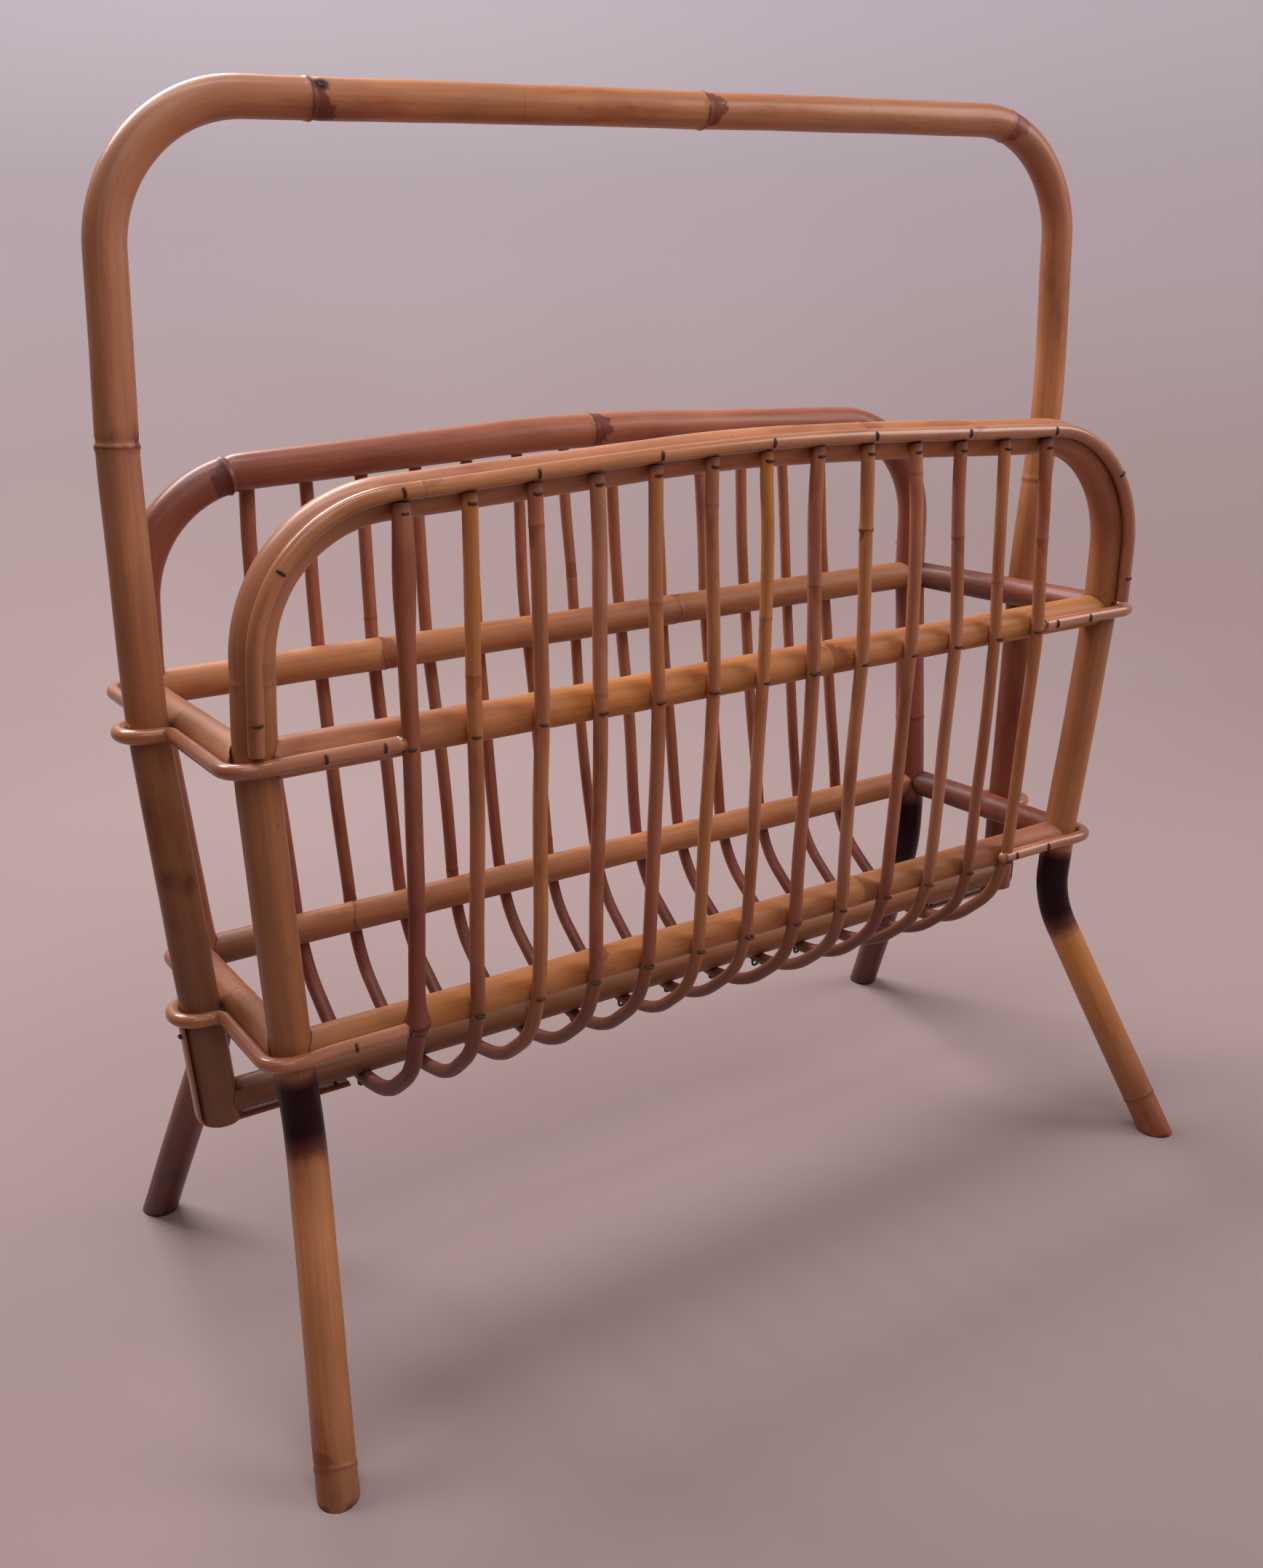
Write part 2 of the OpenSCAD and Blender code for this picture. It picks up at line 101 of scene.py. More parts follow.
def addCamera():
    data = bpy.data.cameras.new("studioCamera")
    data.sensor_fit = "VERTICAL"
    data.sensor_height = camera["film"]
    data.lens = camera["lens"]
    data.clip_start = 0.02
    yaw, pitch, roll = (math.radians(camera[k]) for k in ("yaw", "pitch", "roll"))
    ahead = Vector((math.sin(yaw) * math.cos(pitch), math.cos(yaw) * math.cos(pitch), math.sin(pitch)))
    right = Vector((math.cos(yaw), -math.sin(yaw), 0))
    up = right.cross(ahead)
    across = right * math.cos(roll) + up * math.sin(roll)
    upward = up * math.cos(roll) - right * math.sin(roll)
    obj = bpy.data.objects.new("studioCamera", data)
    turned = Matrix((across, upward, -ahead)).transposed().to_4x4()
    obj.matrix_world = Matrix.Translation(camera["place"]) @ turned
    bpy.context.scene.collection.objects.link(obj)
    bpy.context.scene.camera = obj


lamps = {
    "skylight": {"at": (-0.35, 1.25, 1.7), "aim": (0, 0, 0.35), "size": (1.5, 0.55), "power": 42,
                 "color": (1.0, 0.96, 0.98)},
    "wallWash": {"at": (-0.2, 0.0, 1.9), "aim": (0.9, 1.6, 0.8), "size": (1.2, 0.6), "power": 20,
                 "color": (1.0, 0.96, 0.99)},
    "window": {"at": (1.2, -0.75, 1.15), "aim": (0, 0, 0.35), "size": (0.8, 0.9), "power": 11,
               "color": (1.0, 0.95, 0.92)},
    "fill": {"at": (-0.45, -1.0, 1.45), "aim": (0, 0, 0.45), "size": (1.0, 1.0), "power": 6.5,
             "color": (1.0, 0.95, 0.93)},
}


def addLamp(name, lamp):
    data = bpy.data.lights.new(name, "AREA")
    data.shape = "RECTANGLE"
    data.size, data.size_y = lamp["size"]
    data.energy = lamp["power"]
    data.color = lamp["color"]
    obj = bpy.data.objects.new(name, data)
    obj.location = lamp["at"]
    toward = Vector(lamp["aim"]) - Vector(lamp["at"])
    obj.rotation_euler = toward.to_track_quat("-Z", "Y").to_euler()
    obj.visible_camera = False
    bpy.context.scene.collection.objects.link(obj)


sky = {"low": (0.1, 0.07, 0.07, 1), "high": (0.86, 0.78, 0.84, 1), "strength": 0.3}


def addWorld():
    # soft light from above that darkens toward the ground
    world = bpy.data.worlds.new("studioWorld")
    world.use_nodes = True
    tree = world.node_tree
    coords = tree.nodes.new("ShaderNodeTexCoord")
    split = tree.nodes.new("ShaderNodeSeparateXYZ")
    ramp = tree.nodes.new("ShaderNodeValToRGB")
    tree.links.new(coords.outputs["Generated"], split.inputs[0])
    tree.links.new(split.outputs["Z"], ramp.inputs[0])
    ramp.color_ramp.elements[0].color = sky["low"]
    ramp.color_ramp.elements[1].color = sky["high"]
    tree.links.new(ramp.outputs[0], tree.nodes["Background"].inputs["Color"])
    tree.nodes["Background"].inputs["Strength"].default_value = sky["strength"]
    bpy.context.scene.world = world


studio = {"floorR": 1.15, "bendR": 0.65, "wallTop": 2.4, "steps": 96, "bendSteps": 12}


def addStudio():
    # a pale round room: the floor bends up into the wall
    bm = bmesh.new()
    profile = [Vector((0.0, 0, 0)), Vector((studio["floorR"], 0, 0))]
    for k in range(1, studio["bendSteps"] + 1):
        a = math.radians(90 * k / studio["bendSteps"])
        bend = studio["bendR"] * Vector((math.sin(a), 0, 1 - math.cos(a)))
        profile.append(profile[1] + bend)
    profile.append(Vector((studio["floorR"] + studio["bendR"], 0, studio["wallTop"])))
    verts = [bm.verts.new(p) for p in profile]
    edges = [bm.edges.new(pair) for pair in zip(verts, verts[1:])]
    bmesh.ops.spin(bm, geom=verts + edges, cent=(0, 0, 0), axis=(0, 0, 1), angle=2 * math.pi,
                   steps=studio["steps"], use_merge=True)
    bmesh.ops.remove_doubles(bm, verts=bm.verts, dist=1e-5)
    bmesh.ops.recalc_face_normals(bm, faces=bm.faces)
    bmesh.ops.reverse_faces(bm, faces=bm.faces)
    room = meshObject("studioRoom", bm)
    room.data.materials.append(paperMaterial())


# Materials

def addNode(tree, kind, inputs=None, **settings):
    node = tree.nodes.new(kind)
    for key, value in settings.items():
        setattr(node, key, value)
    for key, value in (inputs or {}).items():
        if isinstance(value, bpy.types.NodeSocket):
            tree.links.new(value, node.inputs[key])
        else:
            node.inputs[key].default_value = value
    return node


def calc(tree, operation, a, b=0.0, clamp=False):
    return addNode(tree, "ShaderNodeMath", {0: a, 1: b}, operation=operation, use_clamp=clamp).outputs[0]


def mapped(tree, value, low, high, toLow=0.0, toHigh=1.0):
    inputs = {"Value": value, "From Min": low, "From Max": high, "To Min": toLow, "To Max": toHigh}
    return addNode(tree, "ShaderNodeMapRange", inputs, interpolation_type="SMOOTHSTEP").outputs[0]


def mixed(tree, factor, a, b, mode="MIX"):
    node = addNode(tree, "ShaderNodeMix", {0: factor, 6: a, 7: b}, data_type="RGBA", blend_type=mode)
    return node.outputs[2]


def noiseAt(tree, vector, stretch, scale, detail=3.0, rough=0.55):
    scaled = addNode(tree, "ShaderNodeVectorMath", {0: vector, 1: stretch}, operation="MULTIPLY")
    made = addNode(tree, "ShaderNodeTexNoise",
                   {"Vector": scaled.outputs[0], "Scale": scale, "Detail": detail, "Roughness": rough})
    return made.outputs["Fac"]


def newMaterial(name):
    material = bpy.data.materials.new(name)
    material.use_nodes = True
    return material, material.node_tree, material.node_tree.nodes["Principled BSDF"]


caneFinishes = {
    "thickCane": {"fibre": 0.7, "cloud": 0.05, "fleck": 0.55, "rough": 0.42,
                  "coat": 0.15, "coatRough": 0.18},
    "railCane": {"fibre": 0.7, "cloud": 0.06, "fleck": 0.5, "rough": 0.5, "coat": 0.07, "coatRough": 0.24},
    "slatCane": {"fibre": 1.1, "cloud": 0.07, "fleck": 0.8, "rough": 0.48, "coat": 0.1, "coatRough": 0.26},
    "beadCane": {"fibre": 1.2, "cloud": 0.08, "fleck": 0.9, "rough": 0.38, "coat": 0.6, "coatRough": 0.14},
}

# what each mark multiplies the color of the cane by, and the two colors of heated cane
caneMarks = {
    "warm": (0.74, 0.55, 0.5, 1), "pale": (1.16, 1.2, 1.22, 1), "fleck": (0.52, 0.4, 0.36, 1),
    "scar": (0.45, 0.28, 0.30, 1), "ring": (0.42, 0.3, 0.28, 1),
}
heated = {"red": (0.095, 0.018, 0.010, 1), "black": (0.017, 0.001, 0.0035, 1)}


def caneMaterial(name, finish):
    material, tree, shader = newMaterial(name)
    # cane: round the cane, round the cane, along the cane, in millimetres
    along = addNode(tree, "ShaderNodeAttribute", attribute_name="cane").outputs["Vector"]
    tone = addNode(tree, "ShaderNodeAttribute", attribute_name="tone").outputs["Color"]
    knot = addNode(tree, "ShaderNodeAttribute", attribute_name="knot").outputs["Vector"]
    burn = addNode(tree, "ShaderNodeAttribute", attribute_name="burn").outputs["Fac"]

    fibre = noiseAt(tree, along, (1, 1, 0.03), finish["fibre"], 5, 0.62)
    strand = noiseAt(tree, along, (1, 1, 0.012), finish["fibre"] * 0.35, 3, 0.5)
    cloud = noiseAt(tree, along, (1, 1, 0.35), finish["cloud"], 4, 0.6)
    fleck = noiseAt(tree, along, (1, 1, 0.3), finish["fleck"], 2, 0.5)
    smear = noiseAt(tree, along, (1, 1, 0.8), 0.32, 3, 0.6)

    color = mixed(tree, 1.0, tone, mapGrey(tree, fibre, 0.25, 0.75, 0.9, 1.08), "MULTIPLY")
    color = mixed(tree, 1.0, color, mapGrey(tree, strand, 0.3, 0.7, 0.9, 1.08), "MULTIPLY")
    warm = mixed(tree, 1.0, color, caneMarks["warm"], "MULTIPLY")
    color = mixed(tree, mapped(tree, cloud, 0.5, 0.72, 0.0, 0.85), color, warm)
    pale = mixed(tree, 1.0, color, caneMarks["pale"], "MULTIPLY")
    color = mixed(tree, mapped(tree, cloud, 0.46, 0.3, 0.0, 0.7), color, pale)
    speck = mixed(tree, 1.0, color, caneMarks["fleck"], "MULTIPLY")
    color = mixed(tree, mapped(tree, fleck, 0.7, 0.78, 0.0, 0.6), color, speck)

    # the joint of the cane: a thin dark ring, and the scar of the leaf that grew above it
    parts = addNode(tree, "ShaderNodeSeparateXYZ", {0: knot})
    facing, distance, strength = parts.outputs[0], parts.outputs[1], parts.outputs[2]
    uneven = calc(tree, "SUBTRACT", smear, 0.5)
    wander = calc(tree, "MULTIPLY", uneven, 2.4)
    moved = calc(tree, "ADD", distance, wander)
    ring = mapped(tree, calc(tree, "ABSOLUTE", moved), 0.25, 1.0, 1.0, 0.0)
    above = mapped(tree, moved, -0.2, 0.6)
    taper = calc(tree, "MULTIPLY", moved, 0.11)
    inside = calc(tree, "SUBTRACT", calc(tree, "ADD", facing, 0.1), taper)
    ragged = calc(tree, "ADD", inside, calc(tree, "MULTIPLY", uneven, 1.6))
    scar = calc(tree, "MULTIPLY", above, mapped(tree, ragged, 0.0, 0.22))
    scar = calc(tree, "MULTIPLY", scar, strength)
    ringed = calc(tree, "MULTIPLY", ring, calc(tree, "MULTIPLY", strength, 0.8), True)
    scarred = mixed(tree, 1.0, color, caneMarks["scar"], "MULTIPLY")
    color = mixed(tree, calc(tree, "MULTIPLY", scar, 0.9, True), color, scarred)
    color = mixed(tree, ringed, color, mixed(tree, 1.0, color, caneMarks["ring"], "MULTIPLY"))

    # scorched where the leg was heated to bend it
    heat = calc(tree, "ADD", burn, calc(tree, "MULTIPLY", uneven, 0.2))
    color = mixed(tree, mapped(tree, heat, 0.02, 0.4), color, heated["red"])
    color = mixed(tree, mapped(tree, heat, 0.3, 0.75), color, heated["black"])
    tree.links.new(color, shader.inputs["Base Color"])

    gloss = mapped(tree, fibre, 0.3, 0.7, finish["rough"] - 0.06, finish["rough"] + 0.1)
    gloss = calc(tree, "ADD", gloss, calc(tree, "MULTIPLY", scar, 0.15))
    tree.links.new(gloss, shader.inputs["Roughness"])
    height = calc(tree, "ADD", calc(tree, "MULTIPLY", fibre, 0.6), calc(tree, "MULTIPLY", strand, 1.2))
    height = calc(tree, "SUBTRACT", height, calc(tree, "MULTIPLY", ringed, 1.5))
    bump = addNode(tree, "ShaderNodeBump", {"Height": height, "Strength": 0.5, "Distance": 0.00012})
    tree.links.new(bump.outputs[0], shader.inputs["Normal"])
    # charred cane is dull
    tree.links.new(mapped(tree, heat, 0.3, 0.75, 0.35, 0.1), shader.inputs["Specular IOR Level"])
    shader.inputs["IOR"].default_value = 1.5
    shader.inputs["Coat Weight"].default_value = finish["coat"]
    shader.inputs["Coat Roughness"].default_value = finish["coatRough"]
    return material


def mapGrey(tree, value, low, high, toLow, toHigh):
    grey = mapped(tree, value, low, high, toLow, toHigh)
    return addNode(tree, "ShaderNodeCombineColor", {0: grey, 1: grey, 2: grey}).outputs[0]


rust = {"dark": (0.035, 0.013, 0.008, 1), "light": (0.09, 0.032, 0.018, 1), "scale": 900.0}


def wireMaterial():
    # old staple wire, browned by rust
    material, tree, shader = newMaterial("rustedWire")
    place = addNode(tree, "ShaderNodeTexCoord").outputs["Object"]
    noisy = addNode(tree, "ShaderNodeTexNoise", {"Vector": place, "Scale": rust["scale"], "Detail": 3.0})
    patches = noisy.outputs["Fac"]
    color = mixed(tree, mapped(tree, patches, 0.4, 0.62), rust["dark"], rust["light"])
    tree.links.new(color, shader.inputs["Base Color"])
    tree.links.new(mapped(tree, patches, 0.3, 0.7, 0.55, 0.8), shader.inputs["Roughness"])
    shader.inputs["Metallic"].default_value = 0.2
    return material


paper = {
    "floor": (0.29, 0.222, 0.212, 1), "wall": (0.41, 0.375, 0.405, 1), "wave": (0.5, 0.46, 0.46, 1),
    "shade": (0.08, 0.055, 0.055, 1), "wallZ": 0.9, "shadeX": (-0.25, -1.3),
}


def paperMaterial():
    # pale backdrop paper
    material, tree, shader = newMaterial("backdropPaper")
    place = addNode(tree, "ShaderNodeTexCoord").outputs["Object"]
    noisy = addNode(tree, "ShaderNodeTexNoise", {"Vector": place, "Scale": 1.1, "Detail": 2.0})
    waves = noisy.outputs["Fac"]
    parts = addNode(tree, "ShaderNodeSeparateXYZ", {0: place})
    # painted light: the paper is darker on the floor and lighter up the wall, for the wall being lit more
    # than the floor
    height = mapped(tree, parts.outputs["Z"], 0.0, paper["wallZ"])
    color = mixed(tree, height, paper["floor"], paper["wall"])
    color = mixed(tree, mapped(tree, waves, 0.35, 0.65, 0.0, 0.08), color, paper["wave"])
    # painted shade: the paper is darkened toward the side that the window doesn't reach
    color = mixed(tree, mapped(tree, parts.outputs["X"], *paper["shadeX"]), color, paper["shade"])
    tree.links.new(color, shader.inputs["Base Color"])
    shader.inputs["Roughness"].default_value = 0.9
    shader.inputs["Specular IOR Level"].default_value = 0.15
    return material


# Sweeping a cane along its path

def meshObject(name, bm):
    mesh = bpy.data.meshes.new(name)
    bm.to_mesh(mesh)
    bm.free()
    mesh.polygons.foreach_set("use_smooth", [True] * len(mesh.polygons))
    obj = bpy.data.objects.new(name, mesh)
    bpy.context.scene.collection.objects.link(obj)
    return obj


def roundedPath(points, bends, step=2.0):
    # the points, with each inner corner turned into an arc of its bend radius
    path = [points[0]]
    for before, corner, after, bend in zip(points, points[1:], points[2:], bends):
        inward = (corner - before).normalized()
        outward = (after - corner).normalized()
        turn = inward.angle(outward)
        if turn < 0.01 or bend == 0:
            path.append(corner)
            continue
        aside = (outward - inward * inward.dot(outward)).normalized()
        start = corner - inward * bend * math.tan(turn / 2)
        count = max(2, math.ceil(turn * bend / step))
        for k in range(count + 1):
            t = turn * k / count
            path.append(start + bend * (aside * (1 - math.cos(t)) + inward * math.sin(t)))
    path.append(points[-1])
    return path


class Route:
    # a path measured along its length
    def __init__(self, path):
        self.path = path
        self.reach = [0.0]
        for a, b in zip(path, path[1:]):
            self.reach.append(self.reach[-1] + (b - a).length)
        self.length = self.reach[-1]

    def at(self, s):
        s = min(max(s, 0.0), self.length)
        i = min(max(bisect.bisect_left(self.reach, s), 1), len(self.path) - 1)
        a, b = self.path[i - 1], self.path[i]
        return a.lerp(b, (s - self.reach[i - 1]) / max(1e-9, self.reach[i] - self.reach[i - 1]))

    def heading(self, s, reach=1.5):
        low, high = max(0.0, s - reach), min(self.length, s + reach)
        return (self.at(high) - self.at(low)).normalized()

    def nearest(self, point, count=600):
        places = [self.length * k / count for k in range(count + 1)]
        return min(places, key=lambda s: (self.at(s) - point).length)


rings = {"nearJoint": (0.7, 1.4, 2.2, 3.2, 4.5, 6, 8), "closest": 0.45}


def ringPlaces(length, spacing, marks):
    # even steps, and closer ones round each joint of the cane
    count = max(2, round(length / spacing))
    places = [length * k / count for k in range(count + 1)]
    for mark in marks:
        places += [mark] + [mark + way * step for step in rings["nearJoint"] for way in (-1, 1)]
    places = sorted(p for p in places if 0 <= p <= length)
    kept = [places[0]]
    for p in places[1:]:
        if p - kept[-1] > rings["closest"]:
            kept.append(p)
    kept[-1] = length
    return kept


def blendTone(stops, t):
    # the color at share t of the length, from (share, tone) stops
    for (a, first), (b, second) in zip(stops, stops[1:]):
        if t <= b:
            return Vector(tones[first]).lerp(Vector(tones[second]), (t - a) / max(1e-9, b - a))
    return Vector(tones[stops[-1][1]])


jointShape = {"ridge": 1.3, "groove": 1.1, "grooveAt": 2.2, "grooveDepth": 0.6}

# how much a grown cane varies, and over what length
growth = {
    "width": (0.012, 60), "tone": (0.16, 45), "skin": (0.02, 22), "bowLength": 75, "straightEnd": 30,
}


def jointWidth(joint, d):
    # the ridge at the joint, the groove just past it, and a wider swelling on some
    ridge = math.exp(-(d / jointShape["ridge"]) ** 2)
    groove = math.exp(-((d - jointShape["grooveAt"]) / jointShape["groove"]) ** 2)
    swelling = joint.get("swell", 0.0) * math.exp(-(d / joint.get("spread", 1)) ** 2)
    return joint["ridge"] * (ridge - jointShape["grooveDepth"] * groove) + swelling


def sweepCane(bm, path, look):
    # look gives the radius, sides, ring spacing and tones, and what sets this cane apart
    route = Route(path)
    radius = look["radius"]
    joints = look.get("joints", [])
    seed = look["seed"]
    widen = look.get("widen")
    layers = {
        "cane": bm.verts.layers.float_vector.get("cane") or bm.verts.layers.float_vector.new("cane"),
        "tone": bm.verts.layers.float_color.get("tone") or bm.verts.layers.float_color.new("tone"),
        "knot": bm.verts.layers.float_vector.get("knot") or bm.verts.layers.float_vector.new("knot"),
        "burn": bm.verts.layers.float.get("burn") or bm.verts.layers.float.new("burn"),
    }
    verts = bmesh.ops.create_circle(bm, cap_ends=False, segments=look["sides"], radius=1)["verts"]
    edges = list(dict.fromkeys(edge for vert in verts for edge in vert.link_edges))
    for vert in verts:
        vert[layers["cane"]] = (vert.co.x, vert.co.y, 0)
    firstEdges = edges
    places = ringPlaces(route.length, look["spacing"], [joint["at"] for joint in joints])
    heading = route.heading(0)
    side = heading.cross(Vector((0, 1, 0)) if abs(heading.y) < 0.9 else Vector((1, 0, 0))).normalized()
    before = Matrix.Identity(4)
    made = []
    for number, s in enumerate(places):
        if number:
            verts, edges = extrudeRing(bm, edges)
            heading = route.heading(s)
            side = (side - heading * side.dot(heading)).normalized()
        share, reach = growth["width"]
        size = radius * (1 + share * noise.noise(Vector((s / reach, seed, 0.5))))
        if widen:
            size *= widen(s / route.length)
        for joint in joints:
            size += jointWidth(joint, s - joint["at"])
        drift = noise.noise_vector(Vector((s / growth["bowLength"], seed * 3.1, 7.7)))
        drift *= look.get("bow", 0.0)
        drift *= min(1, s / growth["straightEnd"], (route.length - s) / growth["straightEnd"])
        place = route.at(s) + drift
        axes = (side * size, heading.cross(side) * size, heading * size)
        here = Matrix.Translation(place) @ Matrix(axes).transposed().to_4x4()
        bmesh.ops.transform(bm, matrix=here @ before.inverted(), verts=verts)
        before = here
        made.append((s, verts, place))
    paintCane(made, route, look, layers)
    rub = look.get("rub", 0.6)
    roundEnd(bm, firstEdges, made[0], made[1], radius, rub)
    roundEnd(bm, edges, made[-1], made[-2], radius, rub)


def extrudeRing(bm, edges):
    made = bmesh.ops.extrude_edge_only(bm, edges=edges)["geom"]
    verts = [item for item in made if isinstance(item, bmesh.types.BMVert)]
    fresh = set(verts)
    edges = [item for item in made if isinstance(item, bmesh.types.BMEdge)
             and item.verts[0] in fresh and item.verts[1] in fresh]
    return verts, edges


def roundEnd(bm, edges, last, inner, radius, rub):
    # a sawn end with its edge rubbed round
    verts, place = last[1:]
    out = (place - inner[2]).normalized()
    spokes = [vert.co - place for vert in verts]
    for vert in verts:
        vert.co -= out * rub
    for turn in (30, 60, 90):
        angle = math.radians(turn)
        share = 1 - rub * (1 - math.cos(angle)) / radius
        fresh, edges = extrudeRing(bm, edges)
        for vert in fresh:
            flat = vert.co - place
            flat -= out * flat.dot(out)
            spoke = max(spokes, key=lambda way: way.dot(flat))
            vert.co = place - out * rub * (1 - math.sin(angle)) + spoke * share
    bmesh.ops.edgeloop_fill(bm, edges=edges)


def cutLevel(bm, z, merge=0.5):
    # saws everything off below this height, joins up the cut's short edges and closes it
    cut = bmesh.ops.bisect_plane(bm, geom=bm.verts[:] + bm.edges[:] + bm.faces[:], dist=0.001,
                                 plane_co=(0, 0, z), plane_no=(0, 0, -1), clear_outer=True)["geom_cut"]
    rim = dict.fromkeys(vert for item in cut if isinstance(item, bmesh.types.BMEdge) for vert in item.verts)
    bmesh.ops.remove_doubles(bm, verts=sorted(rim, key=lambda vert: vert.co[:]), dist=merge)
    edges = [edge for edge in bm.edges if edge.is_boundary]
    bmesh.ops.edgeloop_fill(bm, edges=edges)


def spotHeat(spot, along, cosine, sine, radius):
    # a dark spot at this angle round the cane and this far past the joint
    angle, offset, size, heat = spot
    turn = math.acos(max(-1.0, min(1.0, cosine * math.cos(angle) + sine * math.sin(angle))))
    return heat * math.exp(-((turn * radius) ** 2 + (along - offset) ** 2) / size ** 2)


def paintCane(made, route, look, layers):
    # what the materials read, and the small unevenness of a grown cane
    radius = look["radius"]
    joints = look.get("joints", [])
    seed = look["seed"]
    burnAt = look.get("burn")
    toneShare, toneLength = growth["tone"]
    skinShare, skinLength = growth["skin"]
    for s, verts, place in made:
        base = blendTone(look["tone"], s / route.length)
        base = base * (1 + toneShare * noise.noise(Vector((s / toneLength, seed, 3))))
        near = min(joints, key=lambda joint: abs(joint["at"] - s)) if joints else None
        spots = [spot for spot in (near or {}).get("spots", [])
                 if abs(s - near["at"] - spot[1]) < 3 * spot[2]]
        heat = burnAt(place) if burnAt else 0.0
        for vert in verts:
            around = vert[layers["cane"]]
            cosine, sine = around[0], around[1]
            rough = noise.noise(Vector((cosine * 1.4, sine * 1.4, s / skinLength + seed * 5.3)))
            vert.co += (vert.co - place) * (skinShare * rough)
            vert[layers["cane"]] = (cosine * radius + seed * 13.7, sine * radius, s)
            vert[layers["tone"]] = (base.x, base.y, base.z, 1)
            smudges = [spotHeat(spot, s - near["at"], cosine, sine, radius) for spot in spots]
            vert[layers["burn"]] = max([heat] + smudges)
            if near:
                scarAngle = near.get("scar", 0.0)
                facing = cosine * math.cos(scarAngle) + sine * math.sin(scarAngle)
                way = near.get("way", 1)
                vert[layers["knot"]] = (facing, (s - near["at"]) * way, near.get("mark", 1.0))
            else:
                vert[layers["knot"]] = (0, 99, 0)


def finishCane(name, bm, material, slot, *nodes):
    # one finished piece: metres, closed, outward faces, riding on the rack
    bmesh.ops.transform(bm, matrix=Matrix.Translation((slideX, 0, 0)), verts=bm.verts)
    bmesh.ops.scale(bm, vec=(0.001, 0.001, 0.001), verts=bm.verts)
    bmesh.ops.recalc_face_normals(bm, faces=bm.faces)
    piece = meshObject(name, bm)
    piece.data.materials.append(material)
    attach(piece, "root")
    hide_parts(*nodes)


def jointsNear(path, spots):
    # joints of a cane given by the point that they are nearest to
    route = Route(path)
    return [dict(spot, at=route.nearest(Vector(spot["point"]))) for spot in spots]


# Panels: each frame is one cane from foot to foot

def foot(side, face):
    return Vector((side * rack["footWidth"] / 2, face * rack["footGap"] / 2, 0))


def kink(side, face):
    return Vector((side * rack["kinkWidth"] / 2, face * rack["kinkGap"] / 2, rack["kinkZ"]))


def lowPost(side, face):
    return Vector((side * rack["lowWidth"] / 2, face * rack["lowGap"] / 2, rack["lowZ"]))


def midPost(side, face):
    return Vector((side * rack["midWidth"] / 2, face * rack["midGap"] / 2, rack["midZ"]))


def archCorner(side, face):
    return Vector((side * cornerX + rack["archShift"], face * rack["topGap"] / 2, cornerZ))


def belowFoot(side, face):
    # a little past the floor, for the level cut
    return kink(side, face).lerp(foot(side, face), 1.08)


# bend radius at the kink, the low rail, the middle rail, the arch's corner and its crown
frameBends = {"kink": 55, "low": 100, "mid": 250, "arch": 58, "crown": 1500}


def framePath(face):
    left, right = [[belowFoot(side, face), kink(side, face), lowPost(side, face), midPost(side, face),
                    archCorner(side, face)] for side in (-1, 1)]
    crown = Vector((rack["archShift"], face * rack["topGap"] / 2, crownZ))
    bends = list(frameBends.values())
    return roundedPath(left + [crown] + right[::-1], bends + bends[-2::-1])


frames = {
    "front": {
        "seed": 2, "face": -1,
        "tone": [(0, "bark"), (0.03, "amber"), (0.09, "honey"), (0.13, "amber"), (0.22, "amber"),
                 (0.27, "amber"), (0.32, "tan"), (0.42, "tan"), (0.6, "honey"), (0.68, "rose"),
                 (0.74, "amber"), (0.87, "honey"), (0.9, "gold"), (0.96, "amber"), (1, "russet")],
        "joints": [{"point": (-244, -124, 14), "ridge": 0.3, "mark": 0.5},
                   {"point": (-232, -73, 320), "ridge": 0.2, "mark": 0.3, "scar": 2.0},
                   {"point": (60, -74, 391), "ridge": 0.25, "mark": 0.5, "scar": 1.0},
                   {"point": (240, -115, 20), "ridge": 0.3, "mark": 0.5}],
    },
    "back": {
        "seed": 5, "face": 1,
        "tone": [(0, "umber"), (0.04, "umber"), (0.1, "russet"), (0.15, "rose"), (0.3, "russet"),
                 (0.36, "russet"), (0.5, "rose"), (0.6, "rose"), (0.68, "russet"), (0.8, "russet"),
                 (0.9, "umber"), (1, "umber")],
        "joints": [{"point": (-183, 74, 386), "ridge": 0.7, "mark": 1.0, "scar": 1.9, "way": -1},
                   {"point": (9, 74, 391), "ridge": 0.5, "mark": 1.3, "scar": 1.3},
                   {"point": (226, 62, 205), "ridge": 0.3, "mark": 0.6}],
    },
}


scorch = {"top": 157, "sharp": 10, "lowLeft": 134, "lowRight": 124, "fade": 22}


def scorchAt(place):
    # black just under the lower binding, fading out below the bend of the leg
    low = scorch["lowLeft"] if place.x < 0 else scorch["lowRight"]
    above = (scorch["top"] - place.z) / scorch["sharp"]
    below = 1 - (low - place.z) / scorch["fade"]
    return max(0.0, min(1.0, above, below))


def buildFrames(material):
    for name, spec in frames.items():
        path = framePath(spec["face"])
        bm = bmesh.new()
        look = {"radius": rack["caneR"], "sides": 26, "spacing": 3.5, "seed": spec["seed"],
                "tone": spec["tone"], "joints": jointsNear(path, spec["joints"]), "burn": scorchAt,
                "bow": 0.5}
        sweepCane(bm, path, look)
        cutLevel(bm, 0)
        finishCane(name + "Frame", bm, material, "frame_cane", name + "_frame")
    print("frames built")


# Handle hoop

def poleAt(side, z):
    return Vector((side * (lowPoleX + poleSlope * (z - rack["lowZ"])), 0, z))


